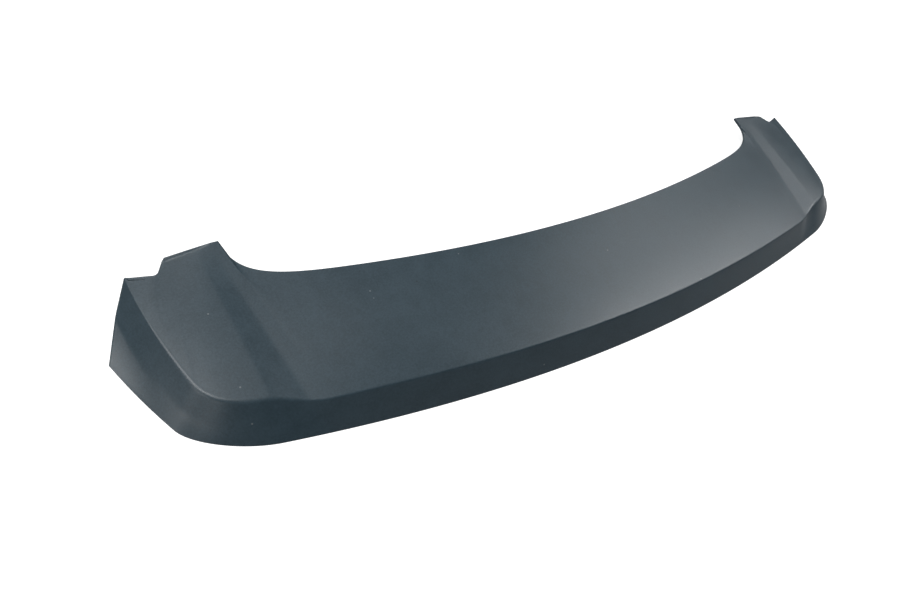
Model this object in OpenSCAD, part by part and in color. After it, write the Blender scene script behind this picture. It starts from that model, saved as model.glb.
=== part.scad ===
// Roof spoiler for a hatchback: one thin moulded shell, open underneath.
// X runs across the car, Y forward, Z up. It stands on its rim at Z = 0, with the
// middle of its outline at X = Y = 0. Sizes are in millimetres.

/* [Overall] */
// width over the lower front corners of the side walls
span_w = 1220; // [1000:1:1500]
// depth from the middle of the rear rim to the ear tips
span_d = 287; // [235:1:350]
// height of the panel's front edge in the middle
front_h = 51.5; // [45:0.5:70]
// height of the rear crease in the middle
crease_h = 36.6; // [32:0.2:50]
// thickness of the moulding
wall = 3.6; // [2.5:0.1:5]
// how far the edges of the front face are broken
edge_break = 0.8; // [0.2:0.1:1.2]

/* [Rear wall] */
// how far the rear curves run forward, over half the span
rear_bow = 74; // [40:1:110]
// how far the crease stands ahead of the rim
rear_lean = 27.5; // [15:0.5:40]
// reach of the rounding between the top and the walls
crease_round = 3; // [2:0.5:8]
// the same reach at the upper front corner of a side wall
end_round = 1.2; // [0.6:0.2:4]
// roundness of the rim's rear corners in plan
rim_fullness = 0.52; // [0.4:0.02:0.9]
// roundness of the crease's rear corners in plan
crease_fullness = 0.68; // [0.4:0.02:0.9]
// side end of the rim's rear corner, in from the end of the span
rim_corner_inset = 35; // [20:1:60]
// the same point, behind the middle of the part
rim_corner_back = 43; // [25:1:60]

/* [Panel] */
// middle of the front edge, ahead of the middle of the part
front_edge_y = 31.7; // [0:0.1:60]
// how far the front edge runs forward, over half the span
front_bow = 101.5; // [60:0.5:130]
// how far the front edge falls, over half the span
front_fall = 28; // [0:1:40]
// how far the panel bulges between its crease and its front edge
panel_crown = 3; // [0:0.5:8]
// half width of the straight part of the front bay
bay_half_w = 346; // [280:1:400]
// roundness of the corners of the front bay
bay_fullness = 0.78; // [0.5:0.02:0.9]

/* [Ears] */
// inner tip of an ear, in from the end of the span
tip_inset = 147; // [130:1:180]
// outer corner of an ear's front, in from the end of the span
shoulder_inset = 87; // [70:1:110]
// how far the inner tip stands above the shoulder's level
tip_lift = 0.5; // [0:0.5:5]
// how far the notch lies out from the shoulder
notch_out = 15; // [8:0.5:20]
// how far the notch lies behind the shoulder
notch_back = 24; // [12:0.5:30]
// reach of the rounding in the notch
notch_round = 5.5; // [2:0.5:8]
// height of the ear just behind its front lip
ear_front_h = 35.2; // [28:0.2:45]
// width of the turned-down lip at the ear's shoulder
lip_w = 7.5; // [4:0.5:14]
// how far the lip drops at the shoulder
lip_drop = 5.8; // [0:0.2:10]

/* [Step beside the ears] */
// bottom of the step at the crease, in from the end of the span
valley_inset = 161; // [135:1:190]
// top of the step at the crease, in from the end of the span
ridge_inset = 124; // [100:1:130]
// how far the crease falls from the middle to the bottom of the step
valley_drop = 9.4; // [5:0.2:16]
// how far the crease climbs again over the step
ridge_rise = 12.5; // [4:0.1:16]
// how far the crease moves forward over the step
ridge_jog = 7.5; // [0:0.2:20]

/* [Side walls] */
// crease at the end of the rear corner, in from the end of the span
side_crease_inset = 62; // [45:1:80]
// the same point, behind the middle of the part
side_crease_back = 12; // [0:1:40]
// upper front corner of the wall, in from the end of the span
top_corner_inset = 41; // [25:1:60]
// the same corner, behind the ear tips
top_corner_back = 15; // [5:0.5:40]
// lower front corner of the wall, behind the ear tips
low_corner_back = 94.5; // [40:0.5:120]
// how far the crease falls from the ridge to the end of the rear corner
side_drop = 6.3; // [0:0.1:10]
// how far the crease falls from there to the upper front corner
end_drop = 2.3; // [0:0.1:8]
// bulge of the side crease in plan
side_bulge = 7.5; // [0:0.1:15]
// height of the fold along the side wall
fold_h = 11; // [6:0.5:16]
// front end of the fold, in from the end of the span
fold_end_inset = 22; // [10:0.5:35]
// the same point, behind the ear tips
fold_end_back = 45; // [20:0.5:70]
// rear end of the fold, in from the end of the span
fold_start_inset = 45.5; // [35:0.5:60]
// the same point, behind the middle of the part
fold_start_back = 28; // [15:1:40]
// bulge of the fold in plan
fold_bulge = 9.6; // [0:0.2:15]
// reach of the rounding over the fold
fold_round = 5; // [1:0.5:8]

/* [Screw posts] */
// distance between the posts of the inner pair
inner_pair_w = 260; // [160:1:360]
// distance between the posts of the outer pair
outer_pair_w = 640; // [480:1:700]
// diameter of a post
post_d = 14; // [10:0.5:18]
// diameter of a pilot hole
pilot_d = 3.8; // [2.5:0.1:5]
// depth of a pilot hole
pilot_depth = 16; // [8:0.5:20]
// height of the posts' feet above the rim
foot_h = 12; // [4:0.5:20]
// length of the web that carries a post
web_len = 84; // [40:1:110]
// thickness of a web
web_t = 2.8; // [2:0.1:4]

/* [Hidden] */
half_w = span_w / 2;
rear_y = -span_d / 2;
tip_y = span_d / 2;

// where the step and the rear corners begin, along the crease and the rim
valley_x = half_w - valley_inset;
ridge_x = half_w - ridge_inset;
jog_lead = 20;
jog_start_x = valley_x - jog_lead;
rim_corner_lead = 6;
rim_corner_x = ridge_x - rim_corner_lead;
valley_power = 6;

// share of the step's width over which each of its ends is rounded
step_soft = 0.35;

// corners of the front edge, from the bay outwards: the ear's front is almost straight
bay_y = front_edge_y + front_bow * pow(bay_half_w / half_w, 2);
ear_side_dir = [0.04, 1];
ear_tip = [half_w - tip_inset, tip_y];
step_front_w = 23;
ridge_front_out = 9;
ridge_front = [ridge_x + ridge_front_out, tip_y];
valley_front = [ridge_front[0] - step_front_w, tip_y];
shoulder = [half_w - shoulder_inset, tip_y - 1];
notch = [shoulder[0] + notch_out, shoulder[1] - notch_back];

// corners of the side wall, on the crease, the fold and the rim
side_crease = [half_w - side_crease_inset, -side_crease_back];
top_corner = [half_w - top_corner_inset, tip_y - top_corner_back];
side_fold = [half_w - fold_start_inset, -fold_start_back];
fold_end = [half_w - fold_end_inset, tip_y - fold_end_back];
side_rim = [half_w - rim_corner_inset, -rim_corner_back];
low_corner = [half_w, tip_y - low_corner_back];
rim_bulge = 3.5;
fold_fullness = 0.6;

// slope of the top where it leaves the side crease, and least width of the edge strip
side_slope = 0.07;
lip_min = 3;

// share of the crown at the bottom and at the top of the step
valley_crown = 0.7;
ridge_crown = 0.9;

// Stations number the curves from the middle out: 0 to 1 is the panel, 1 to 2 the bay's
// corner, 2 to 3 the step, 3 to 4 the rear corner and 4 to 5 the side. The list gives the
// columns of facets in each, and the ear's tip has a station of its own.
STRETCHES = [12, 12, 8, 12, 12];
TOP_ROWS = 12;
ROUND_STEPS = 4;
FOLD_STEPS = 2;
tip_station = 1.8;

// share of the notch line where its rounding starts and ends
round_from = 0.4;
round_to = 0.6;

// places under the top skin: station, share of the way forward
inner_post = [inner_pair_w / 2 / bay_half_w, 0.45];
outer_post = [outer_pair_w / 2 / bay_half_w, 0.45];
ear_post = [3.5, 0.48];
posts = [inner_post, outer_post, ear_post];
// how deep a web is at its ends, and how far it climbs up its post
web_edge = 4;

// small helpers
function lerp(a, b, t) = a + (b - a) * t;
function clamp01(t) = max(0, min(1, t));
function ease(t) = t * t * (3 - 2 * t);
// a rise from 0 to 1, straight in its middle and rounded over a share of each end
function half_ramp(t, soft) = (t < soft ? t * t / (2 * soft) : t - soft / 2) / (1 - soft);
function ramp(t, soft) = t < 0.5 ? half_ramp(t, soft) : 1 - half_ramp(1 - t, soft);
function unit(v) = v / norm(v);
function cross2(a, b) = a[0] * b[1] - a[1] * b[0];
function bez2(a, b, c, t) = lerp(lerp(a, b, t), lerp(b, c, t), t);
function bez3(a, b, c, d, t) = lerp(bez2(a, b, c, t), bez2(b, c, d, t), t);

// a rounded corner from p to q, leaving along u and arriving along v
function corner(p, u, q, v, fullness, t) =
    let (meet = p + u * cross2(q - p, v) / cross2(u, v))
    bez3(p, lerp(p, meet, fullness), lerp(q, meet, fullness), q, t);

// middle control point of a side line that bulges outward between p and q
function side_ctl(p, q, bulge) = (p + q) / 2 + bulge * unit([q[1] - p[1], p[0] - q[0]]);

// a rear line at x, for a curve whose middle is at y0
function rear_line(y0, bow, x) = [x, y0 + bow * pow(x / half_w, 2)];
function rear_dir(bow, x) = unit([1, 2 * bow * x / pow(half_w, 2)]);

// x of the crease along the panel, the bay corner and the step
function crease_x(a) =
    a <= 1 ? bay_half_w * a
    : a <= 2 ? lerp(bay_half_w, valley_x, a - 1)
    : lerp(valley_x, ridge_x, a - 2);

function crease_rear(x) =
    rear_line(rear_y + rear_lean, rear_bow, x)
    + [0, ridge_jog * ease(clamp01((x - jog_start_x) / (ridge_x - jog_start_x)))];

// outline of the rim, for the right half
function rim_half(a) =
    let (start = rear_line(rear_y, rear_bow, rim_corner_x),
         ctl = side_ctl(side_rim, low_corner, rim_bulge))
    a <= 3 ? rear_line(rear_y, rear_bow, crease_x(a) * rim_corner_x / ridge_x)
    : a <= 4 ? corner(start, rear_dir(rear_bow, rim_corner_x), side_rim, unit(ctl - side_rim),
                      rim_fullness, a - 3)
    : bez2(side_rim, ctl, low_corner, a - 4);

// outline of the crease, for the right half
function crease_half(a) =
    let (ctl = side_ctl(side_crease, top_corner, side_bulge))
    a <= 3 ? crease_rear(crease_x(a))
    : a <= 4 ? corner(crease_rear(ridge_x), rear_dir(rear_bow, ridge_x), side_crease,
                      unit(ctl - side_crease), crease_fullness, a - 3)
    : bez2(side_crease, ctl, top_corner, a - 4);

// outline of the front edge, for the right half: bay, ear front, notch and side corner
function front_half(a) =
    a <= 1 ? rear_line(front_edge_y, front_bow, crease_x(a))
    : a <= tip_station ? corner([bay_half_w, bay_y], rear_dir(front_bow, bay_half_w), ear_tip,
                                unit(ear_side_dir), bay_fullness, (a - 1) / (tip_station - 1))
    : a <= 2 ? lerp(ear_tip, valley_front, (a - tip_station) / (2 - tip_station))
    : a <= 3 ? lerp(valley_front, ridge_front, a - 2)
    : a <= 4 ? lerp(ridge_front, shoulder, a - 3)
    : notch_line(a - 4);

// the step from the shoulder back into the notch, then out to the side wall's corner
function notch_line(t) =
    let (before = notch + notch_round * unit(shoulder - notch),
         after = notch + notch_round * unit(top_corner - notch))
    t <= round_from ? lerp(shoulder, before, t / round_from)
    : t <= round_to ? bez2(before, notch, after, (t - round_from) / (round_to - round_from))
    : lerp(after, top_corner, (t - round_to) / (1 - round_to));

// height of the crease: the step starts with the slope of the panel's fall
function crease_z(a) =
    let (low = crease_h - valley_drop, high = low + ridge_rise,
         fall = valley_power * valley_drop / valley_x * (ridge_x - valley_x))
    a <= 2 ? crease_h - valley_drop * pow(crease_x(a) / valley_x, valley_power)
    : a <= 3 ? lerp(low, high, ramp(a - 2, step_soft)) - fall * (a - 2) * pow(3 - a, 2)
    : a <= 4 ? lerp(high, high - side_drop, ease(a - 3))
    : high - side_drop - end_drop * (a - 4);

// height of the front edge, left of any lip
function front_z(a) =
    let (x = front_half(a)[0], arch = front_h - front_fall * pow(x / half_w, 2),
         tip_z = ear_front_h + tip_lift)
    a <= 1 ? arch
    : a <= tip_station ? lerp(arch, tip_z, pow((a - 1) / (tip_station - 1), 2))
    : a <= 3 ? lerp(tip_z, ear_front_h, (a - tip_station) / (3 - tip_station))
    : a <= 4 ? ear_front_h
    : lerp(ear_front_h, crease_z(5), ease(clamp01((x - notch[0]) / (top_corner[0] - notch[0]))));

// how far the lip runs and drops at a station
function lip_run(a) =
    a <= 2 ? lip_min
    : a <= 4 ? lerp(lip_min, lip_w, (a - 2) / 2)
    : max(lip_min, lip_w - (shoulder[1] - front_half(a)[1]));
function lip_fall(a) =
    a <= 2 ? 0
    : a <= 4 ? lip_drop * (a - 2) / 2
    : lip_drop * clamp01(1 - (shoulder[1] - front_half(a)[1]) / lip_w);

// the same curves for both halves: s runs from -5 at the left corner to 5 at the right one
function both(s, p) = [s < 0 ? -p[0] : p[0], p[1]];
function rim(s) = both(s, rim_half(abs(s)));
function crease(s) = both(s, crease_half(abs(s)));
function front(s) = both(s, front_half(abs(s)));
function plain_fold(a) = lerp(rim_half(a), crease_half(a), fold_h / crease_z(a));
function fold(s) =
    let (a = abs(s), ctl = side_ctl(side_fold, fold_end, fold_bulge))
    both(s, a <= 3 ? plain_fold(a)
            : a <= 4 ? corner(plain_fold(3), rear_dir(rear_bow, ridge_x), side_fold,
                              unit(ctl - side_fold), fold_fullness, a - 3)
            : bez2(side_fold, ctl, fold_end, a - 4));

// inward direction in plan, square to a curve given by two of its points
function inward_of(p, q) = let (d = unit(q - p)) [-d[1], d[0]];
function crease_in(s) =
    let (a = abs(s))
    a == 5 ? both(s, unit(notch - top_corner))
    : a <= 1 ? [0, 1]
    : unit(lerp([0, 1], inward_of(crease(s - 0.01), crease(s + 0.01)), min(1, a - 1)));
function rim_in(s) =
    inward_of(rim(max(-5, s - 0.01)), rim(min(5, s + 0.01)));

// bulge of the top at a station, and the slope with which the top leaves the crease
function crown_at(a) =
    panel_crown * (a <= 2 ? lerp(1, valley_crown, ease(a / 2))
                   : a <= 3 ? lerp(valley_crown, ridge_crown, ramp(a - 2, step_soft))
                   : ridge_crown * (1 - ease((a - 3) / 2)));
function top_slope(a) =
    let (m = min(a, 3), run = norm(front_half(m) - crease_half(m)),
         slope = (front_z(m) - crease_z(m) + 4 * crown_at(m)) / run)
    lerp(slope, side_slope, clamp01(a - 3));

// reach of the crease's rounding at a station
function round_at(a) = lerp(crease_round, end_round, clamp01(a - 4));

// outer skin: top edge of the rounding, the virtual crease, the fold and the rim
function outer_top(s) =
    let (a = abs(s), p = crease(s) + crease_in(s) * round_at(a))
    [p[0], p[1], crease_z(a) + round_at(a) * top_slope(a)];
function outer_crease(s) = [crease(s)[0], crease(s)[1], crease_z(abs(s))];
function outer_fold(s) = [fold(s)[0], fold(s)[1], fold_h];
function outer_rim(s) = [rim(s)[0], rim(s)[1], 0];

// inner skin: the same lines one wall in, found from the slopes of the two bands of the wall
function band(run, rise) = unit([rise, -run]);
function inner_crease(s) =
    let (n = rim_in(s), up = band((crease(s) - fold(s)) * n, crease_z(abs(s)) - fold_h),
         p = crease(s) + crease_in(s) * wall * (1 + up[1]) / up[0])
    [p[0], p[1], crease_z(abs(s)) - wall];
function inner_fold(s) =
    let (n = rim_in(s), up = band((crease(s) - fold(s)) * n, crease_z(abs(s)) - fold_h),
         low = band((fold(s) - rim(s)) * n, fold_h), shift = wall * unit(up + low),
         p = fold(s) + n * shift[0])
    [p[0], p[1], fold_h + shift[1]];
function inner_rim(s) =
    let (n = rim_in(s), low = band((fold(s) - rim(s)) * n, fold_h), p = rim(s) + n * wall / low[0])
    [p[0], p[1], 0];
function inner_top(s) =
    let (c = inner_crease(s), p = crease_in(s) * round_at(abs(s)) / 2)
    [c[0] + p[0], c[1] + p[1], c[2]];

// one wall column: rounding, upper band, fold, lower band, rim
function wall_column(top, crease, fold, rim, reach) =
    let (below = crease + reach * unit(fold - crease),
         over = fold + min(fold_round, norm(below - fold) / 2) * unit(below - fold),
         under = fold + min(fold_round, norm(rim - fold) / 2) * unit(rim - fold))
    [for (k = [1:ROUND_STEPS]) bez2(top, crease, below, k / ROUND_STEPS),
     for (k = [0:FOLD_STEPS]) bez2(over, fold, under, k / FOLD_STEPS),
     rim];

// one top column, from the rounding to the front edge, with the lip and the broken edge as
// its last steps
function top_point(s, start, drop, q) =
    let (a = abs(s), edge = [front(s)[0], front(s)[1], front_z(a) - drop],
         root = edge + lip_run(a) * unit([start[0] - edge[0], start[1] - edge[1], 0]))
    lerp(start, root, q) + [0, 0, 4 * crown_at(a) * q * (1 - q)];
function top_column(s, start, drop) =
    let (edge = [front(s)[0], front(s)[1], front_z(abs(s)) - drop - lip_fall(abs(s))],
         rows = [for (j = [0:TOP_ROWS]) top_point(s, start, drop, j / TOP_ROWS)],
         face = drop > 0 ? edge_break : -edge_break)
    concat(rows, [edge + edge_break * unit(rows[TOP_ROWS] - edge), edge + [0, 0, face]]);

// station values, right half then mirrored
right_stations = [for (k = [0:4]) for (i = [1:STRETCHES[k]]) k + i / STRETCHES[k]];
stations = concat([for (i = [len(right_stations) - 1:-1:0]) -right_stations[i]], [0], right_stations);

module shell() {
    n = len(stations) - 1;
    top_n = TOP_ROWS + 3;
    wall_n = ROUND_STEPS + FOLD_STEPS + 2;
    column_n = top_n + wall_n;
    skin_n = column_n * (n + 1);
    // each column runs from the front edge back to the crease and down to the rim
    function turned(c) = [for (i = [len(c) - 1:-1:0]) c[i]];
    outer = [for (s = stations) let (t = outer_top(s))
        each concat(turned(top_column(s, t, 0)),
                    wall_column(t, outer_crease(s), outer_fold(s), outer_rim(s), round_at(abs(s))))];
    inner = [for (s = stations) let (t = inner_top(s))
        each concat(turned(top_column(s, t, wall)),
                    wall_column(t, inner_crease(s), inner_fold(s), inner_rim(s), round_at(abs(s)) / 2))];
    // the top closes to a point at both side corners, so its cells there are single triangles
    function cell(i, j) = let (a = i * column_n + j, b = a + column_n)
        j >= top_n - 1 ? [[a, b, b + 1], [a, b + 1, a + 1]]
        : i == 0 ? [[top_n - 1, b, b + 1]]
        : i == n - 1 ? [[a, b - j + top_n - 1, a + 1]]
        : [[a, b, b + 1], [a, b + 1, a + 1]];
    function flip(f) = [f[0], f[2], f[1]];
    function shift(f, d) = [for (k = f) k + d];
    skin = [for (i = [0:n - 1]) for (j = [0:column_n - 2]) each cell(i, j)];
    tip = top_n - 1;
    first = function(i) i == 0 ? tip : i == n ? n * column_n + tip : i * column_n;
    last = column_n - 1;
    edges = concat(
        [for (i = [0:n - 1]) each let (a = first(i), b = first(i + 1))
            [[a, a + skin_n, b + skin_n], [a, b + skin_n, b]]],
        [for (i = [0:n - 1]) each let (a = i * column_n + last, b = a + column_n)
            [[a, b, b + skin_n], [a, b + skin_n, a + skin_n]]],
        [for (j = [tip:last - 1]) each
            [[j, j + 1, j + 1 + skin_n], [j, j + 1 + skin_n, j + skin_n]]],
        [for (j = [tip:last - 1]) each let (a = n * column_n + j)
            [[a, a + 1 + skin_n, a + 1], [a, a + skin_n, a + 1 + skin_n]]]);
    polyhedron(concat(outer, inner), concat(skin, [for (f = skin) shift(flip(f), skin_n)], edges));
}

// a point in the middle of the top skin
function skin_at(s, q) = top_point(s, outer_top(s) - [0, 0, wall / 2], wall / 2, q);

// a post with a web under it that runs fore and aft below the skin
module post_body(s, q) {
    p = skin_at(s, q);
    a = skin_at(s, 0);
    b = skin_at(s, 1);
    run = norm([b[0] - a[0], b[1] - a[1]]);
    translate([p[0], p[1], foot_h])
        cylinder(h = p[2] - foot_h, d = post_d, $fn = 48);
    reach = [for (k = [0:4]) (k / 4 - 0.5) * web_len];
    top = [for (r = reach) [r, skin_at(s, q + r / run)[2]]];
    foot = [for (side = [1, -1]) [side * post_d / 2, foot_h + web_edge]];
    rear_end = [reach[0], top[0][1] - web_edge];
    front_end = [reach[4], top[4][1] - web_edge];
    translate([p[0], p[1], 0])
        rotate([0, 0, atan2(b[1] - a[1], b[0] - a[0])])
            rotate([90, 0, 0])
                linear_extrude(height = web_t, center = true)
                    polygon(concat(foot, [rear_end], top, [front_end]));
}

module pilot_hole(s, q) {
    p = skin_at(s, q);
    translate([p[0], p[1], foot_h - 1])
        cylinder(h = pilot_depth + 1, d = pilot_d, $fn = 32);
}

module spoiler() {
    color([0.25, 0.31, 0.36])
    difference() {
        union() {
            shell();
            for (p = posts)
                for (side = [-1, 1])
                    post_body(side * p[0], p[1]);
        }
        for (p = posts)
            for (side = [-1, 1])
                pilot_hole(side * p[0], p[1]);
    }
}

spoiler();
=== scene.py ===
"""Roof spoiler: the looks of one thin moulded shell in matt primer.

The packed CAD model gives the frame. The shell is worked out again here on a fine grid from the
same guide curves, with rounded edges, and it stands for the faceted CAD solid. Lengths are in metres.
"""

import bmesh
import bpy
import numpy as np
from mathutils import Matrix, Vector


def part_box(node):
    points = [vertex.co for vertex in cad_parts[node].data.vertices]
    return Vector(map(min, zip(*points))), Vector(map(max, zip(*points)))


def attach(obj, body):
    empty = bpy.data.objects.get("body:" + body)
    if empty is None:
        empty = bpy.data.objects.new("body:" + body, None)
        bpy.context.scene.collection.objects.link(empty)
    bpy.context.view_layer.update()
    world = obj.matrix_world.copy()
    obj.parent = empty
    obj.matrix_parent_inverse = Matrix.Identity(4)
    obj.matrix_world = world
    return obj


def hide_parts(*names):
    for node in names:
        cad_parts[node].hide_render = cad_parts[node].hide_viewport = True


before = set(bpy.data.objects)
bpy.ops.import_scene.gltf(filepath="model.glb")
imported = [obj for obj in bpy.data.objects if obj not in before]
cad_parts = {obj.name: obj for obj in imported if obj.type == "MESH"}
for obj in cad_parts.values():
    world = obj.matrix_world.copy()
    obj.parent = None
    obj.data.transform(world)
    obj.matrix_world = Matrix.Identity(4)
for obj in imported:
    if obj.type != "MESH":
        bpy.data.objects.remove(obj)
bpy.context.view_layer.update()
LOW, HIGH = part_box("spoiler")

# What keeps the plan part of a vector, and the way up
PLAN = np.array([1, 1, 0])
UP = np.array([0, 0, 1])

bl_info = {
    "name": "Roof Spoiler",
    "version": (1, 0, 0),
    "blender": (4, 5, 0),
    "location": "3D View > Sidebar > Spoiler",
    "description": "Builds a moulded roof spoiler, its primer finish and a photo stage",
    "category": "Object",
}


# Sizes and colours that a user would change

def mm(name, default, description):
    """A length property that is written in millimetres and kept in metres."""
    return bpy.props.FloatProperty(
        name=name, default=default / 1000, description=description, unit="LENGTH", precision=4)


def share(name, default, description):
    """A plain number from 0 to 1."""
    return bpy.props.FloatProperty(
        name=name, default=default, min=0, max=1, description=description, subtype="FACTOR")


def paint(name, default, description):
    """A linear colour."""
    return bpy.props.FloatVectorProperty(
        name=name, default=default, size=3, min=0, max=1, description=description, subtype="COLOR")


class OutlineSizes(bpy.types.PropertyGroup):
    """The rim, the crease and the panel between them."""

    span_w: mm("Width", (HIGH.x - LOW.x) * 1000, "Over the lower front corners of the side walls")
    span_d: mm("Depth", (HIGH.y - LOW.y) * 1000, "From the rear rim's middle to the ear tips")
    front_h: mm("Front height", (HIGH.z - LOW.z) * 1000, "Panel's front edge in the middle")
    crease_h: mm("Crease height", 36.6, "Rear crease in the middle")
    wall: mm("Wall", 3.6, "Thickness of the moulding")
    rear_bow: mm("Rear bow", 74, "How far the rear curves run forward over half the span")
    rear_lean: mm("Rear lean", 26.9, "How far the crease stands ahead of the rim")
    crease_round: mm("Crease rounding", 1.8, "Reach of the rounding between the top and the walls")
    corner_round: mm("Corner rounding", 3.6, "The same where the crease turns round the rear corner")
    rim_fullness: share("Rim fullness", 0.52, "Roundness of the rim's rear corners")
    crease_fullness: share("Crease fullness", 0.68, "Roundness of the crease's rear corners")
    rim_corner_inset: mm("Rim corner inset", 35, "Side end of the rim's corner, in from the end")
    rim_corner_back: mm("Rim corner back", 43, "The same point, behind the middle")
    front_edge_y: mm("Front edge", 31.7, "Middle of the front edge, ahead of the middle")
    front_bow: mm("Front bow", 101.5, "How far the front edge runs forward over half the span")
    front_fall: mm("Front fall", 28, "How far the front edge falls over half the span")
    panel_crown: mm("Crown", 3, "Bulge of the panel between its crease and its front edge")
    bay_half_w: mm("Bay half width", 346, "Half width of the straight part of the front bay")
    bay_fullness: share("Bay fullness", 0.78, "Roundness of the corners of the front bay")


class EarSizes(bpy.types.PropertyGroup):
    """The raised ears and the step beside them."""

    tip_inset: mm("Tip inset", 147, "Inner tip of an ear, in from the end of the span")
    shoulder_inset: mm("Shoulder inset", 87, "Outer corner of an ear's front")
    tip_lift: mm("Tip lift", 0.5, "Inner tip above the shoulder's level")
    notch_out: mm("Notch out", 15, "How far the notch lies out from the shoulder")
    notch_back: mm("Notch back", 24, "How far the notch lies behind the shoulder")
    notch_round: mm("Notch rounding", 5.5, "Reach of the rounding in the notch")
    ear_front_h: mm("Ear front height", 35.2, "Height of the ear just behind its front lip")
    lip_w: mm("Lip width", 7.5, "Width of the turned-down lip at the shoulder")
    lip_drop: mm("Lip drop", 5.8, "How far the lip drops at the shoulder")
    valley_inset: mm("Valley inset", 167, "Bottom of the step at the crease")
    ridge_inset: mm("Ridge inset", 124, "Top of the step at the crease")
    valley_drop: mm("Valley drop", 5.6, "Fall of the crease from the middle to the step")
    ridge_rise: mm("Ridge rise", 5.2, "Climb of the crease over the step")
    ridge_jog: mm("Ridge jog", 10.5, "How far the crease moves forward over the step")


class SideSizes(bpy.types.PropertyGroup):
    """The side walls and the fold along them."""

    side_crease_inset: mm("Crease inset", 62, "Crease at the end of the rear corner")
    side_crease_back: mm("Crease back", 12, "The same point, behind the middle")
    top_corner_inset: mm("Top corner inset", 41, "Upper front corner of the wall")
    top_corner_back: mm("Top corner back", 15, "The same corner, behind the ear tips")
    low_corner_back: mm("Low corner back", 94.5, "Lower front corner, behind the ear tips")
    side_drop: mm("Side drop", 2.8, "Fall of the crease round the rear corner")
    end_drop: mm("End drop", 2.3, "Fall of the crease along the side")
    side_bulge: mm("Side bulge", 7.5, "Bulge of the side crease in plan")
    fold_h: mm("Fold height", 11, "Height of the fold along the wall")
    fold_end_inset: mm("Fold end inset", 22, "Front end of the fold")
    fold_end_back: mm("Fold end back", 45, "The same point, behind the ear tips")
    fold_start_inset: mm("Fold start inset", 45.5, "Rear end of the fold")
    fold_start_back: mm("Fold start back", 28, "The same point, behind the middle")
    fold_bulge: mm("Fold bulge", 9.6, "Bulge of the fold in plan")
    fold_round: mm("Fold rounding", 6, "Reach of the rounding over the fold")
    end_round: mm("End rounding", 1.2, "Reach of the crease's rounding at the upper front corner")
    edge_round: mm("Edge rounding", 0.9, "Rounding of the trimmed edges")


class PostSizes(bpy.types.PropertyGroup):
    """The screw posts and webs on the underside."""

    inner_pair_w: mm("Inner pair", 260, "Distance between the posts of the inner pair")
    outer_pair_w: mm("Outer pair", 640, "Distance between the posts of the outer pair")
    pair_place: share("Pair place", 0.4567, "Posts of both pairs, as a share of the way forward")
    ear_place: share("Ear post place", 0.4732, "The same for the posts under the ears")
    post_d: mm("Post diameter", 14, "Outside of a post")
    pilot_d: mm("Pilot diameter", 3.8, "Bore of a pilot hole")
    pilot_depth: mm("Pilot depth", 16, "Depth of a pilot hole")
    foot_h: mm("Foot height", 12, "Feet above the rim")
    web_len: mm("Web length", 84, "Length of a web")
    web_t: mm("Web thickness", 2.8, "Thickness of a web")
    root_flare: mm("Root flare", 2.2, "How far a post or a web spreads where it meets the skin")


class FinishSettings(bpy.types.PropertyGroup):
    """The primer and the bare moulding under it."""

    primer: paint("Primer", (0.0285, 0.0480, 0.0620), "Colour of the primer")
    bare: paint("Bare moulding", (0.030, 0.031, 0.032), "Colour of the moulding where primer is thin")
    speck: paint("Specks", (0.22, 0.24, 0.25), "Colour of the light dust specks")
    dust: paint("Dust", (0.012, 0.014, 0.016), "Colour of the dark dust specks")
    roughness: share("Roughness", 0.40, "Roughness of the primer")
    mottle: share("Mottle", 0.10, "How much the primer's colour varies in soft clouds")
    peel: share("Peel", 0.05, "Strength of the fine orange peel")


class StageSettings(bpy.types.PropertyGroup):
    """The floor, the lamps and the camera."""

    camera_at: bpy.props.FloatVectorProperty(
        name="Camera", default=(-0.65886, -0.32812, 0.72822), size=3, subtype="TRANSLATION",
        description="Where the camera stands")
    camera_to: bpy.props.FloatVectorProperty(
        name="Target", default=(-0.20827, -0.01464, 0.0), size=3, subtype="TRANSLATION",
        description="The point on the floor that the camera looks at")
    camera_roll: bpy.props.FloatProperty(
        name="Roll", default=np.radians(30.147), subtype="ANGLE",
        description="How far the camera is turned about its own axis")
    lens: bpy.props.FloatProperty(name="Lens", default=28, description="Focal length in millimetres")
    floor: paint("Floor", (0.50, 0.50, 0.50), "Colour of the floor as the lamps see it")
    glow: share("Floor glow", 0.82, "How much brighter the camera sees the floor")
    ambient: share("Ambient", 0.0, "Light from all round")


# Points and curves, as whole arrays

def mix(p, q, t):
    """Straight mix: p plus t times the way from p to q, for an array of t."""
    return p + (q - p) * np.asarray(t, float)[..., None]


def mix_number(a, b, t):
    """The same for plain numbers."""
    return a + (b - a) * t


def ease(t):
    """Smooth step from 0 to 1: three t squared less two t cubed, held at both ends."""
    t = np.clip(t, 0, 1)
    return t * t * (3 - 2 * t)


def ramp(t, soft):
    """A rise from 0 to 1 that is straight in its middle, with a parabola over a share of each end."""
    t = np.clip(t, 0, 1)
    near = np.minimum(t, 1 - t)
    low = np.where(near < soft, near * near / (2 * soft), near - soft / 2) / (1 - soft)
    return np.where(t < 0.5, low, 1 - low)


def unit(v):
    """The vector over its own length."""
    v = np.asarray(v, float)
    return v / np.maximum(np.linalg.norm(v, axis=-1, keepdims=True), 1e-12)


def point(x, y):
    """A plan point."""
    return np.array([x, y], float)


def bend(a, b, c, t):
    """Quadratic curve through a and c with b as its control point."""
    return mix(mix(a, b, t), mix(b, c, t), t)


def bend_cubic(a, b, c, d, t):
    """Cubic curve from a to d with b and c as its control points."""
    return mix(bend(a, b, c, t), bend(b, c, d, t), t)


def cross(a, b):
    """The plan cross product of two vectors."""
    return a[0] * b[1] - a[1] * b[0]


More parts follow.
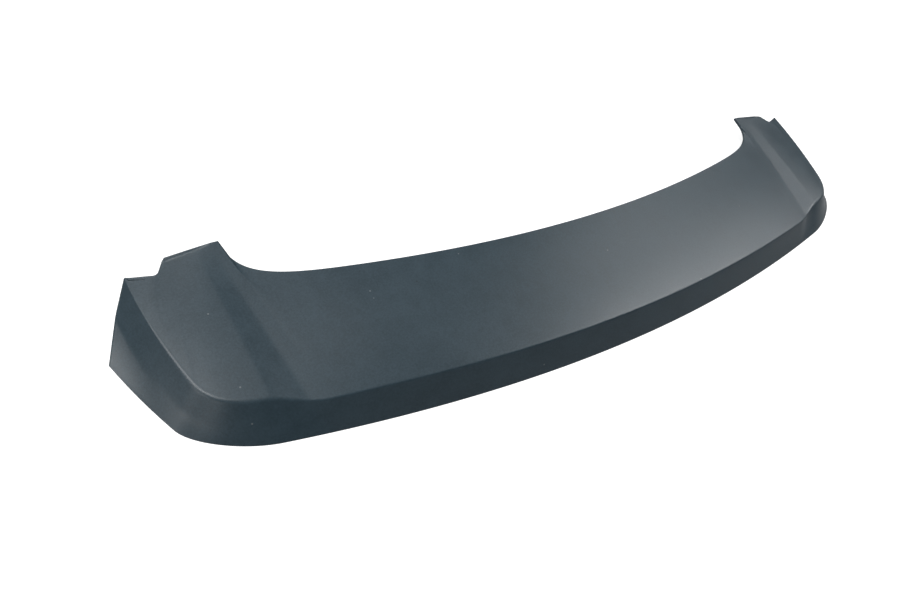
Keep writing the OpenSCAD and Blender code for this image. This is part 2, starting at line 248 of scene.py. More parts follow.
def corner(p, u, q, v, fullness, t):
    """A rounded corner: a cubic from p along u to q along v, its controls a share of the way to
    the point where the two directions meet."""
    meet = p + u * cross(q - p, v) / cross(u, v)
    return bend_cubic(p, p + (meet - p) * fullness, q + (meet - q) * fullness, q, t)


def pick(a, limits, values):
    """The first value whose limit the station a doesn't pass, else the last value."""
    out = values[-1]
    for limit, value in zip(limits[::-1], values[-2::-1]):
        here = a <= limit
        out = np.where(here[:, None] if np.ndim(value) == 2 else here, value, out)
    return out


# The guide curves

class Form:
    """The shell's guide curves. A station runs from 0 in the middle to 5 at the front of the side
    wall: 0 to 1 the panel, 1 to 2 the bay's corner, 2 to 3 the step, 3 to 4 the rear corner and
    4 to 5 the side. A negative station is the same point on the left."""

    # Stations of the ear's inner tip and of the post under the ear
    tip_station = 1.8
    ear_station = 3.497

    # The step: power of the fall before it, soft share of its ramp, the crown's share in the valley
    # and on the ridge, how far before the valley the crease moves forward, and the step's width and
    # its ridge's way out at the front
    valley_power = 6
    step_soft = 0.2
    valley_crown = 0.7
    ridge_crown = 0.9
    jog_lead = 0.020
    step_front_w = 0.023
    ridge_front_out = 0.009

    # The ear's front: heading of its inner edge, shares of the notch line where its rounding
    # starts and ends, how far the shoulder lies behind the tip, and the least width of the lip
    tip_heading = (0.04, 1)
    notch_from = 0.4
    notch_to = 0.6
    shoulder_back = 0.001
    lip_min = 0.003

    # The sides: where the rim's corner starts, bulge of the rim, fullness of the fold's corner,
    # slope of the top at the side, and how many stations the front turn and the rounding's fade take
    rim_corner_lead = 0.006
    rim_bulge = 0.0035
    fold_fullness = 0.6
    side_slope = 0.07
    end_turn = 0.2
    round_fade = 1.4

    # Half the distance between the stations that give a direction
    look = 0.01

    def __init__(self, *groups):
        for group in groups:
            for key in group.__annotations__:
                setattr(self, key, getattr(group, key))
        half, back, front = self.span_w / 2, -self.span_d / 2, self.span_d / 2
        self.half, self.back = half, back
        self.valley_x = half - self.valley_inset
        self.ridge_x = half - self.ridge_inset
        self.jog_x = self.valley_x - self.jog_lead
        self.rim_corner_x = self.ridge_x - self.rim_corner_lead
        self.bay_end = self.arch(self.front_edge_y, self.front_bow, self.bay_half_w)
        self.ear_tip = point(half - self.tip_inset, front)
        self.ridge_front = point(self.ridge_x + self.ridge_front_out, front)
        self.valley_front = self.ridge_front - point(self.step_front_w, 0)
        self.shoulder = point(half - self.shoulder_inset, front - self.shoulder_back)
        self.notch = self.shoulder + point(self.notch_out, -self.notch_back)
        self.side_crease = point(half - self.side_crease_inset, -self.side_crease_back)
        self.top_corner = point(half - self.top_corner_inset, front - self.top_corner_back)
        self.side_fold = point(half - self.fold_start_inset, -self.fold_start_back)
        self.fold_end = point(half - self.fold_end_inset, front - self.fold_end_back)
        self.side_rim = point(half - self.rim_corner_inset, -self.rim_corner_back)
        self.low_corner = point(half, front - self.low_corner_back)
        self.end_in = unit(self.notch - self.top_corner)
        self.top_end = self.top_corner + self.end_in * self.end_round

    def control(self, p, q, bulge):
        """Middle control point of a side line that bulges outward."""
        return (p + q) / 2 + bulge * unit([q[1] - p[1], p[0] - q[0]])

    def arch(self, y0, bow, x):
        """A parabola in plan: y0 in the middle and bow further forward at the half span."""
        return np.stack([x, y0 + bow * (x / self.half) ** 2], -1)

    def arch_dir(self, bow, x):
        """The parabola's direction at x."""
        return unit([1, 2 * bow * x / self.half ** 2])

    def crease_x(self, a):
        """Distance from the middle at a station, up to the ridge."""
        return np.interp(a, [0, 1, 2, 3], [0, self.bay_half_w, self.valley_x, self.ridge_x])

    def rear_crease(self, x):
        """The crease behind the panel: the parabola, moved forward over the step."""
        line = self.arch(self.back + self.rear_lean, self.rear_bow, x)
        line[..., 1] += self.ridge_jog * ease((x - self.jog_x) / (self.ridge_x - self.jog_x))
        return line

    def rim_half(self, a):
        """The rim: parabola, rounded corner, then a quadratic side line."""
        control = self.control(self.side_rim, self.low_corner, self.rim_bulge)
        start = self.arch(self.back, self.rear_bow, np.array(self.rim_corner_x))
        return pick(a, [3, 4], [
            self.arch(self.back, self.rear_bow, self.crease_x(a) * self.rim_corner_x / self.ridge_x),
            corner(start, self.arch_dir(self.rear_bow, self.rim_corner_x), self.side_rim,
                   unit(control - self.side_rim), self.rim_fullness, a - 3),
            bend(self.side_rim, control, self.low_corner, a - 4)])

    def crease_half(self, a):
        """The crease: the same three stretches, higher up and further in."""
        control = self.control(self.side_crease, self.top_corner, self.side_bulge)
        start = self.rear_crease(np.array(self.ridge_x))
        return pick(a, [3, 4], [
            self.rear_crease(self.crease_x(a)),
            corner(start, self.arch_dir(self.rear_bow, self.ridge_x), self.side_crease,
                   unit(control - self.side_crease), self.crease_fullness, a - 3),
            bend(self.side_crease, control, self.top_corner, a - 4)])

    def notch_line(self, t):
        """From the shoulder back into the notch, round it, and out to the side wall."""
        start, end = self.notch_from, self.notch_to
        before = self.notch + self.notch_round * unit(self.shoulder - self.notch)
        after = self.notch + self.notch_round * unit(self.top_end - self.notch)
        return pick(t, [start, end], [
            mix(self.shoulder, before, t / start),
            bend(before, self.notch, after, (t - start) / (end - start)),
            mix(after, self.top_end, (t - end) / (1 - end))])

    def front_half(self, a):
        """The front edge: bay, its corner, the ear's front and the notch."""
        tip = self.tip_station
        return pick(a, [1, tip, 2, 3, 4], [
            self.arch(self.front_edge_y, self.front_bow, self.crease_x(a)),
            corner(self.bay_end, self.arch_dir(self.front_bow, self.bay_half_w), self.ear_tip,
                   unit(self.tip_heading), self.bay_fullness, (a - 1) / (tip - 1)),
            mix(self.ear_tip, self.valley_front, (a - tip) / (2 - tip)),
            mix(self.valley_front, self.ridge_front, a - 2),
            mix(self.ridge_front, self.shoulder, a - 3),
            self.notch_line(a - 4)])

    def crease_z(self, a):
        """Height of the crease: a sixth power fall to the valley, a rounded ramp up to the ridge that
        starts with the slope of that fall, and a gentle fall round the corner and along the side."""
        low = self.crease_h - self.valley_drop
        high = low + self.ridge_rise
        fall = self.valley_power * self.valley_drop / self.valley_x * (self.ridge_x - self.valley_x)
        return pick(a, [2, 3, 4], [
            self.crease_h - self.valley_drop * (self.crease_x(a) / self.valley_x) ** self.valley_power,
            mix_number(low, high, ramp(a - 2, self.step_soft)) - fall * (a - 2) * (3 - a) ** 2,
            mix_number(high, high - self.side_drop, ease(a - 3)),
            high - self.side_drop - self.end_drop * (a - 4)])

    def front_z(self, a):
        """Height of the front edge: a parabola over the bay, then the ear's level."""
        x = self.front_half(a)[:, 0]
        arch = self.front_h - self.front_fall * (x / self.half) ** 2
        tip, tip_z = self.tip_station, self.ear_front_h + self.tip_lift
        corner_z = self.crease_z(np.array([5.0]))[0] + self.side_slope * self.end_round
        return pick(a, [1, tip, 3, 4], [
            arch,
            mix_number(arch, tip_z, np.clip((a - 1) / (tip - 1), 0, 1) ** 2),
            mix_number(tip_z, self.ear_front_h, (a - tip) / (3 - tip)),
            np.full_like(a, self.ear_front_h),
            mix_number(self.ear_front_h, corner_z,
                       ease((x - self.notch[0]) / (self.top_end[0] - self.notch[0])))])

    def lip_reach(self, a):
        """How wide the edge strip is at a station."""
        behind = self.shoulder[1] - self.front_half(a)[:, 1]
        return pick(a, [2, 4], [
            np.full_like(a, self.lip_min),
            mix_number(self.lip_min, self.lip_w, (a - 2) / 2),
            np.maximum(self.lip_min, self.lip_w - behind)])

    def lip_fall(self, a):
        """How far the edge strip drops at a station."""
        behind = self.shoulder[1] - self.front_half(a)[:, 1]
        return pick(a, [2, 4], [
            np.zeros_like(a),
            self.lip_drop * (a - 2) / 2,
            self.lip_drop * np.clip(1 - behind / self.lip_w, 0, 1)])

    def crown(self, a):
        """Bulge of the top at a station."""
        return self.panel_crown * pick(a, [2, 3], [
            mix_number(1, self.valley_crown, ease(a / 2)),
            mix_number(self.valley_crown, self.ridge_crown, ramp(a - 2, self.step_soft)),
            mix_number(self.ridge_crown, 0, ease((a - 3) / 2))])

    def round_at(self, a):
        """Reach of the crease's rounding: wider round the rear corner, narrow at the front."""
        wide = mix_number(self.crease_round, self.corner_round, ease(a - 2))
        return mix_number(wide, self.end_round, ease(1 - (5 - a) / self.round_fade))

    def both(self, s, p):
        """The right-hand point, mirrored where the station is negative."""
        return np.where((s < 0)[:, None], p * [-1, 1], p)

    def rim(self, s):
        """The rim on either side."""
        return self.both(s, self.rim_half(np.abs(s)))

    def crease(self, s):
        """The crease on either side."""
        return self.both(s, self.crease_half(np.abs(s)))

    def on_wall(self, a):
        """The point at the fold's height on the straight way from the rim to the crease."""
        return mix(self.rim_half(a), self.crease_half(a), self.fold_h / self.crease_z(a))

    def fold(self, s):
        """The fold: a fixed height on the straight wall, then its own rounded corner and side line."""
        a = np.abs(s)
        start = self.on_wall(np.array([3.0]))[0]
        control = self.control(self.side_fold, self.fold_end, self.fold_bulge)
        return self.both(s, pick(a, [3, 4], [
            self.on_wall(a),
            corner(start, self.arch_dir(self.rear_bow, self.ridge_x), self.side_fold,
                   unit(control - self.side_fold), self.fold_fullness, a - 3),
            bend(self.side_fold, control, self.fold_end, a - 4)]))

    def inward(self, line, s):
        """Plan direction square to a line at its stations s, towards the middle of the part."""
        d = unit(line(np.minimum(s + self.look, 5)) - line(np.maximum(s - self.look, -5)))
        return np.stack([-d[:, 1], d[:, 0]], -1)

    def crease_in(self, s):
        """Inward at the crease: straight forward along the panel, square to the crease further
        out, and along the front edge at the very end."""
        a = np.abs(s)
        turned = unit(mix(point(0, 1), self.inward(self.crease, s), np.clip(a - 1, 0, 1)))
        end_in = self.both(s, np.tile(self.end_in, (len(s), 1)))
        return unit(mix(turned, end_in, ease(1 - (5 - a) / self.end_turn)))

    def rim_in(self, s):
        """Inward at the rim."""
        return self.inward(self.rim, s)

    def top_slope(self, a):
        """Slope with which the top leaves the crease."""
        m = np.minimum(a, 3)
        run = np.linalg.norm(self.front_half(m) - self.crease_half(m), axis=-1)
        slope = (self.front_z(m) - self.crease_z(m) + 4 * self.crown(m)) / run
        return mix_number(slope, self.side_slope, np.clip(a - 3, 0, 1))


# The surfaces

# Steps of the shell's grid: over the top, round the crease, down the upper band, round the fold,
# down the lower band and round a trimmed edge
TOP_STEPS = 32
CREASE_STEPS = 10
UPPER_STEPS = 8
FOLD_STEPS = 6
LOWER_STEPS = 6
EDGE_STEPS = 4

# Largest share of the surface beside it that each takes: the lip, the bend behind it, the rounding
# over the fold, a rounded edge and a rounded end
LIP_LIMIT = 0.5
LIP_BACK = 0.3
FOLD_LIMIT = 0.4
EDGE_LIMIT = 0.4
END_LIMIT = 0.45

# The lip's bend as a share of its width, and the inner skin's rounding as a share of the outer one
LIP_SOFT = 0.4
INNER_ROUND = 0.5

# Last station of the skins, the station where the rounding of an end starts, and its columns' angles
LAST_STATION = 4.97
NEAR_END = 4.995
END_ANGLES = (0, 25, 50, 70, 90)

# Points closer than this are merged
SAME_POINT = 1e-6


def raised(plan, z):
    """A plan point with its height."""
    return np.concatenate([plan, np.broadcast_to(z, plan.shape[:-1])[..., None]], -1)


def row(p):
    """Points or numbers, one for each station, as one row of a grid."""
    return p[:, None]


def shares(steps):
    """Even shares from 0 to 1, over so many steps."""
    return np.linspace(0, 1, steps + 1)[None]


def bands(form, s):
    """Plan and height parts of the inward square of the wall's upper and lower band."""
    n, z = form.rim_in(s), form.crease_z(np.abs(s))
    lean_up = np.sum((form.crease(s) - form.fold(s)) * n, -1)
    lean_low = np.sum((form.fold(s) - form.rim(s)) * n, -1)
    up = unit(np.stack([z - form.fold_h, -lean_up], -1))
    low = unit(np.stack([np.full_like(z, form.fold_h), -lean_low], -1))
    return n, up, low


def top_rows(form, s, start, drop):
    """The top from the rounding to the front edge. Height is a straight mix plus four q (1 - q)
    times the crown; then the edge strip turns down over a short curve."""
    a = np.abs(s)
    edge = raised(form.both(s, form.front_half(a)), form.front_z(a) - drop)
    gap = start - edge
    length = np.linalg.norm(gap[:, :2], axis=-1)
    reach = np.minimum(form.lip_reach(a), LIP_LIMIT * length)
    root = edge + unit(gap * PLAN) * reach[:, None]
    last = edge - np.outer(form.lip_fall(a), UP)
    q = shares(TOP_STEPS)
    top = mix(row(start), row(root), q)
    top[..., 2] += 4 * row(form.crown(a)) * q * (1 - q)
    soft = LIP_SOFT * reach
    near = root - unit(top[:, -1] - top[:, -2]) * np.minimum(soft, LIP_BACK * length)[:, None]
    far = root + unit(last - root) * soft[:, None]
    return top, near, root, far, last


def wall_rows(form, top, crease, fold, rim, reach):
    """The wall from the top's rounding down to the rim: a quadratic round the crease, a straight
    band, a quadratic round the fold and a second straight band."""
    below = crease + unit(fold - crease) * reach
    span_up = np.linalg.norm(fold - below, axis=-1)
    span_low = np.linalg.norm(rim - fold, axis=-1)
    soft = np.minimum(form.fold_round, FOLD_LIMIT * np.minimum(span_up, span_low))[:, None]
    over = fold + unit(below - fold) * soft
    under = fold + unit(rim - fold) * soft
    edge = rim + unit(fold - rim) * form.edge_round
    return np.concatenate([
        bend(row(top), row(crease), row(below), shares(CREASE_STEPS)[:, 1:]),
        mix(row(below), row(over), shares(UPPER_STEPS)[:, 1:]),
        bend(row(over), row(fold), row(under), shares(FOLD_STEPS)[:, 1:]),
        mix(row(under), row(edge), shares(LOWER_STEPS)[:, 1:])], 1)


def skin_lines(form, s, inner):
    """The lines that shape one skin. The inner ones lie one wall in, found from the slopes of the
    wall's two bands."""
    a = np.abs(s)
    z = form.crease_z(a)
    if not inner:
        reach = form.round_at(a)[:, None]
        top = form.crease(s) + form.crease_in(s) * reach
        return (raised(top, z + reach[:, 0] * form.top_slope(a)), raised(form.crease(s), z),
                raised(form.fold(s), form.fold_h), raised(form.rim(s), 0.0), reach, 0.0)
    n, up, low = bands(form, s)
    inward = form.crease_in(s)
    crease = form.crease(s) + inward * (form.wall * (1 + up[:, 1]) / up[:, 0])[:, None]
    shift = form.wall * unit(up + low)
    fold = form.fold(s) + n * shift[:, :1]
    rim = form.rim(s) + n * (form.wall / low[:, 0])[:, None]
    reach = form.round_at(a)[:, None] * INNER_ROUND
    top = crease + inward * reach
    return (raised(top, z - form.wall), raised(crease, z - form.wall),
            raised(fold, form.fold_h + shift[:, 1]), raised(rim, 0.0), reach, form.wall)


def skin(form, s, inner):
    """One skin as a grid: a column for each station, from the middle of the front edge's face, over
    the top and down the wall, to the middle of the rim's face. The rows at both ends round the
    trimmed edges with a quadratic."""
    top, crease, fold, rim, reach, drop = skin_lines(form, s, inner)
    surface, near, root, far, last = top_rows(form, s, top, drop)
    wall = wall_rows(form, top, crease, fold, rim, reach)
    out = -1 if inner else 1
    r = form.edge_round
    strip = np.linalg.norm(far - last, axis=-1)
    tuck = last + unit(far - last) * np.minimum(r, EDGE_LIMIT * strip)[:, None]
    face = last - UP * out * form.wall / 2
    edge = bend(row(last - UP * out * r), row(last), row(tuck), shares(EDGE_STEPS))
    lip = bend(row(far), row(root), row(near), shares(EDGE_STEPS))
    n = raised(form.rim_in(s), 0.0)
    foot = bend(row(wall[:, -1]), row(rim), row(rim + n * out * r), shares(EDGE_STEPS)[:, 1:])
    width = np.sum((skin_lines(form, s, True)[3] - raised(form.rim(s), 0.0)) * n, -1)
    middle = rim + n * (out * width / 2)[:, None]
    return np.concatenate([row(face), edge, lip, surface[:, -2::-1], wall, foot, row(middle)], 1)


def stations(form):
    """Station values from the left end to the right one, close together where the form turns, with
    one on every corner of the front edge. A stretch is its two ends and its number of stations."""
    tip, notch_from, notch_to = form.tip_station, 4 + form.notch_from, 4 + form.notch_to
    stretches = [(0, 1, 41), (1, tip, 33), (tip, 2, 7), (2, 3, 19), (3, 4, 41),
                 (4, notch_from, 13), (notch_from, notch_to, 9), (notch_to, LAST_STATION, 13)]
    right = np.unique(np.concatenate([np.linspace(*stretch) for stretch in stretches]))
    return np.concatenate([-right[:0:-1], right])


def end_columns(form, side):
    """The columns that close an end of the shell, on both skins: they draw together by r (1 - cos)
    as they run out by sin, so that the trimmed edge is a quarter round on either side."""
    near, end = np.array([side * NEAR_END]), np.array([side * 5.0])
    outer, inner = skin(form, near, False)[0], skin(form, near, True)[0]
    end_outer, end_inner = skin(form, end, False)[0], skin(form, end, True)[0]
    thick = inner - outer
    limit = END_LIMIT * np.linalg.norm(thick, axis=-1, keepdims=True)
    away = unit(thick) * np.minimum(form.edge_round, limit)
    angle = np.radians(END_ANGLES)[:, None]
    run = np.broadcast_to(np.sin(angle), (len(angle), len(outer)))
    draw = (1 - np.cos(angle))[..., None] * away
    return mix(outer, end_outer, run) + draw, mix(inner, end_inner, run) - draw


def grid_faces(columns, rows, wrap):
    """Quads of a grid, column by column; with wrap the last column joins the first."""
    i, j = np.meshgrid(np.arange(columns if wrap else columns - 1), np.arange(rows - 1), indexing="ij")
    a, b = (i * rows + j).ravel(), ((i + 1) % columns * rows + j).ravel()
    return np.stack([a, b, b + 1, a + 1], -1)


def shell_mesh(form):
    """The closed shell: both skins as matched grids, joined along the front edge and the rim, with
    rounded ends. Returns points, faces and, for each point, 0 outside and 1 inside."""
    s = stations(form)
    left, right = end_columns(form, -1), end_columns(form, 1)
    outer = np.concatenate([left[0][::-1], skin(form, s, False), right[0]])
    inner = np.concatenate([left[1][::-1], skin(form, s, True), right[1]])
    columns, rows = outer.shape[:2]
    count = columns * rows
    quads = grid_faces(columns, rows, False)
    k = np.arange(rows - 1)
    first = np.stack([k, k + 1, k + 1 + count, k + count], -1)
    last = first[:, [0, 3, 2, 1]] + (columns - 1) * rows
    points = np.concatenate([outer.reshape(-1, 3), inner.reshape(-1, 3)])
    faces = np.concatenate([quads, quads[:, ::-1] + count, first, last])
    return points, faces.tolist(), np.repeat([0.0, 1.0], count)


# The posts and webs: steps round a post and along a web, and steps of the flare where they meet the skin
POST_STEPS = 48
WEB_STEPS = 60
POST_FLARE_STEPS = 6
WEB_FLARE_STEPS = 5

# Angles round a web's lower edge, the web's flare as a share of a post's, and how far in the middle
# of a foot's rounding lies, as a share of that rounding
WEB_ARC = (0, 30, 60, 90)
WEB_FLARE = 0.7
FOOT_CORNER = 0.3

# In metres: rounding of a post's foot, how far posts and webs reach into the skin, a web's lower
# edge above the feet, how far its ends reach down from the skin's middle, and its least height
FOOT_ROUND = 0.0006
SKIN_BITE = 0.0009
WEB_FOOT = 0.004
WEB_END_H = 0.004
WEB_MIN_H = 0.0005

# Steps to both sides that give the skin's slopes, as a share of the way forward and in stations
SHARE_STEP = 0.05
STATION_STEP = 0.02


def skin_middle(form, s, q):
    """A point halfway through the top skin, at a station and a share of the way forward."""
    s = np.atleast_1d(np.asarray(s, float))
    a = np.abs(s)
    start = skin_lines(form, s, False)[0] - UP * form.wall / 2
    edge = raised(form.both(s, form.front_half(a)), form.front_z(a) - form.wall / 2)
    root = edge + unit((start - edge) * PLAN) * form.lip_reach(a)[:, None]
    q = np.broadcast_to(q, s.shape)
    middle = mix(start, root, q)
    middle[:, 2] += 4 * form.crown(a) * q * (1 - q)
    return middle


def skin_slopes(form, s, q):
    """The top skin's slopes along X and Y at a station and a share, from small steps both ways."""
    ahead, behind = skin_middle(form, [s, s], [q + SHARE_STEP, q - SHARE_STEP])
    slope_y = (ahead[2] - behind[2]) / (ahead[1] - behind[1])
    further, nearer = skin_middle(form, [s + STATION_STEP, s - STATION_STEP], [q, q])
    d = further - nearer
    return (d[2] - slope_y * d[1]) / d[0], slope_y


def post_places(form):
    """Stations and shares of the six posts."""
    right = [(form.inner_pair_w / 2 / form.bay_half_w, form.pair_place),
             (form.outer_pair_w / 2 / form.bay_half_w, form.pair_place),
             (form.ear_station, form.ear_place)]
    return [(side * s, q) for s, q in right for side in (-1, 1)]


def flare(steps, reach):
    """A quarter circle that turns outwards as it climbs: the way out, and the height below its top."""
    t = np.linspace(0, 1, steps + 1)
    return reach * (1 - np.sqrt(1 - t * t)), reach * (t - 1)


def revolve(profile, turns):
    """A profile of radius and height, carried round the Z axis."""
    angle = np.linspace(0, 2 * np.pi, turns, endpoint=False)
    r, z = profile.T
    return np.stack([np.outer(np.cos(angle), r), np.outer(np.sin(angle), r), np.tile(z, (turns, 1))], -1)


def post_mesh(form, s, q):
    """A post with its blind hole: a revolved profile whose flared top is tilted by the skin's
    slopes, height plus slope times way along X and Y."""
    centre = skin_middle(form, s, q)[0]
    r, hole, foot = form.post_d / 2, form.pilot_d / 2, form.foot_h
    bore_top, top = foot + form.pilot_depth, centre[2] - form.wall / 2
    small = FOOT_CORNER * FOOT_ROUND
    out, climb = flare(POST_FLARE_STEPS, form.root_flare)
    profile = np.concatenate([
        [(0, bore_top), (hole, bore_top), (hole, foot + FOOT_ROUND), (hole + FOOT_ROUND, foot),
         (r - FOOT_ROUND, foot), (r - small, foot + small), (r, foot + FOOT_ROUND)],
        np.stack([r + out, top + climb], -1),
        [(r + form.root_flare, top + SKIN_BITE)]])
    post = revolve(profile, POST_STEPS)
    slope_x, slope_y = skin_slopes(form, s, q)
    tilted = post[:, -(POST_FLARE_STEPS + 2):]
    tilted[..., 2] += slope_x * tilted[..., 0] + slope_y * tilted[..., 1]
    faces = grid_faces(POST_STEPS, post.shape[1], True)
    return post.reshape(-1, 3) + centre * PLAN, faces.tolist()


def web_mesh(form, s, q):
    """A web: a thin open loop, round below and flared above, carried along a straight fore-and-aft
    line through the post. Its lower edge climbs straight from the post to both ends."""
    centre = skin_middle(form, s, q)[0]
    back, front = skin_middle(form, [s, s], [0.0, 1.0])[:, :2]
    d = unit(front - back)
    along = np.linspace(-0.5, 0.5, WEB_STEPS + 1) * form.web_len
    share_along = q + along / np.linalg.norm(front - back)
    top = skin_middle(form, np.full(len(along), s), share_along)[:, 2] - form.wall / 2
    start = form.foot_h + WEB_FOOT
    ends = top[[0, -1]] - WEB_END_H + form.wall / 2
    r = form.post_d / 2
    past = (np.abs(along) - r) / (form.web_len / 2 - r)
    low = mix_number(start, np.where(along < 0, ends[0], ends[1]), past)
    low = np.minimum(np.maximum(low, start), top - WEB_MIN_H)
    half = form.web_t / 2
    round_h = np.minimum(half, top - low)
    arc = np.radians(WEB_ARC)
    out, climb = flare(WEB_FLARE_STEPS, form.root_flare * WEB_FLARE)
    height = np.concatenate([
        row(low) + row(round_h) * (1 - np.cos(arc)),
        np.maximum(row(low + round_h), row(top) + climb),
        row(top + SKIN_BITE)], 1)
    across = np.concatenate([half * np.sin(arc), half + out, half + out[-1:]])
    across = np.concatenate([-across[::-1], across[1:]])
    height = np.concatenate([height[:, ::-1], height[:, 1:]], 1)
    x = centre[0] + row(along) * d[0] - across * d[1]
    y = centre[1] + row(along) * d[1] + across * d[0]
    rows = height.shape[1]
    ring = np.arange(rows)
    faces = grid_faces(len(along), rows, False).tolist()
    caps = [ring[::-1].tolist(), (ring + WEB_STEPS * rows).tolist()]
    return np.stack([x, y, height], -1).reshape(-1, 3), faces + caps


def joined(parts):
    """Points and faces of several meshes as one."""
    points, faces, base = [], [], 0
    for some, polygons in parts:
        points.append(some)
        faces += [[k + base for k in polygon] for polygon in polygons]
        base += len(some)
    return np.concatenate(points), faces


def new_piece(name, points, faces, inside, material):
    """Makes the mesh object at the origin, with smooth faces that point outwards."""
    mesh = bpy.data.meshes.new(name)
    mesh.from_pydata(points.tolist(), [], faces)
    mesh.validate()
    mesh.attributes.new("inside", "FLOAT", "POINT").data.foreach_set("value", inside)
    mesh.polygons.foreach_set("use_smooth", np.ones(len(mesh.polygons), bool))
    mesh.materials.append(material)
    tidy_mesh(mesh)
    piece = bpy.data.objects.new(name, mesh)
    bpy.context.collection.objects.link(piece)
    return piece


def tidy_mesh(mesh):
    """Merges doubled points, drops flat faces and turns every face outwards."""
    work = bmesh.new()
    work.from_mesh(mesh)
    bmesh.ops.remove_doubles(work, verts=work.verts, dist=SAME_POINT)
    bmesh.ops.dissolve_degenerate(work, edges=work.edges, dist=SAME_POINT)
    bmesh.ops.recalc_face_normals(work, faces=work.faces)
    work.to_mesh(mesh)
    work.free()


# Materials

# Scale, detail and roughness of each noise in the primer
CLOUDS = (9.0, 4.0, 0.55)
PATCHES = (46.0, 3.0, 0.6)
GRAIN = (420.0, 3.0, 0.7)
PEEL = (620.0, 2.0, 0.45)

# What clouds, patches and grain weigh in the colour and in the roughness, the sum at which the colour
# is lightest or, below nought, darkest, and how many mottles both lie from the set colour
COLOUR_WEIGHTS = (0.8, 0.7, 2.0)
ROUGH_WEIGHTS = (0.10, 0.08, 0.16)
COLOUR_REACH = 0.6
MOTTLE_SPAN = 2

# The dust: cells to a metre, a speck's reach in its cell, the draw above which a cell has a speck and
# the one above which that speck is light, and how strongly light and dark specks cover
SPECK_CELLS = 85.0
SPECK_REACH = (0.04, 0.12)
SPECK_DRAW = (0.95, 0.955)
LIGHT_DRAW = (0.5, 0.51)
LIGHT_COVER = 0.55
DARK_COVER = 0.6

# The inner side: where the primer is thin, the patches' part in that, how strongly the moulding
# shows, and how much rougher the side is
THIN_REACH = (0.42, 0.62)
THIN_PATCHES = 0.6
THIN_COVER = 0.8
INNER_ROUGH = 0.08

# Height of the orange peel in metres and the grain's part in it
PEEL_HEIGHT = 0.001
PEEL_GRAIN = 0.35

# Distances from the middle between which the floor's glow grows to full
GLOW_REACH = (1.0, 3.0)


class Wire:
    """A socket that takes part in expressions: each operator adds the Math node it stands for."""

    def __init__(self, tree, socket):
        self.tree, self.socket = tree, socket

    def math(self, operation, *values):
        """Adds a Math node on the values, which may be sockets or numbers."""
        return self.tree.node("ShaderNodeMath", {"operation": operation}, dict(enumerate(values)))

    def __add__(self, other):
        return self.math("ADD", self, other)

    def __sub__(self, other):
        return self.math("SUBTRACT", self, other)

    def __rsub__(self, other):
        return self.math("SUBTRACT", other, self)

    def __mul__(self, other):
        return self.math("MULTIPLY", self, other)

    __radd__, __rmul__ = __add__, __mul__


class Tree:
    """The node tree of a material or a world, filled through one method."""

    def __init__(self, owner):
        owner.use_nodes = True
        self.nodes, self.links = owner.node_tree.nodes, owner.node_tree.links
        self.nodes.clear()

    def node(self, kind, settings, sockets, out=0):
        """Adds a node: first its settings, then the values or links of its sockets, each found by
        its name or its place. Returns the output with that name or place."""
        made = self.nodes.new(kind)
        for key, value in settings.items():
            setattr(made, key, value)
        for key, value in sockets.items():
            socket = made.inputs[key]
            if isinstance(value, Wire):
                self.links.new(value.socket, socket)
            else:
                socket.default_value = value
        return Wire(self, made.outputs[out]) if made.outputs else None

    def blend(self, factor, first, second):
        """Mixes two colours."""
        return self.node("ShaderNodeMix", {"data_type": "RGBA"}, {0: factor, 6: first, 7: second}, 2)

    def noise(self, place, scale, detail, roughness):
        """Soft noise from 0 to 1."""
        return self.node("ShaderNodeTexNoise", {}, {
            "Vector": place, "Scale": scale, "Detail": detail, "Roughness": roughness})

    def between(self, value, low, high):
        """0 below low, 1 above high and a smooth rise between them."""
        return self.node("ShaderNodeMapRange", {"interpolation_type": "SMOOTHSTEP"}, {
            "Value": value, "From Min": low, "From Max": high})


def swings(noises, weights):
    """Noises as swings to both sides of nought, each times its weight, all added up."""
    first, *others = [(noise - 0.5) * weight for noise, weight in zip(noises, weights)]
    return sum(others, first)


def opaque(colour):
    """A colour with full alpha."""
    return (*colour, 1.0)


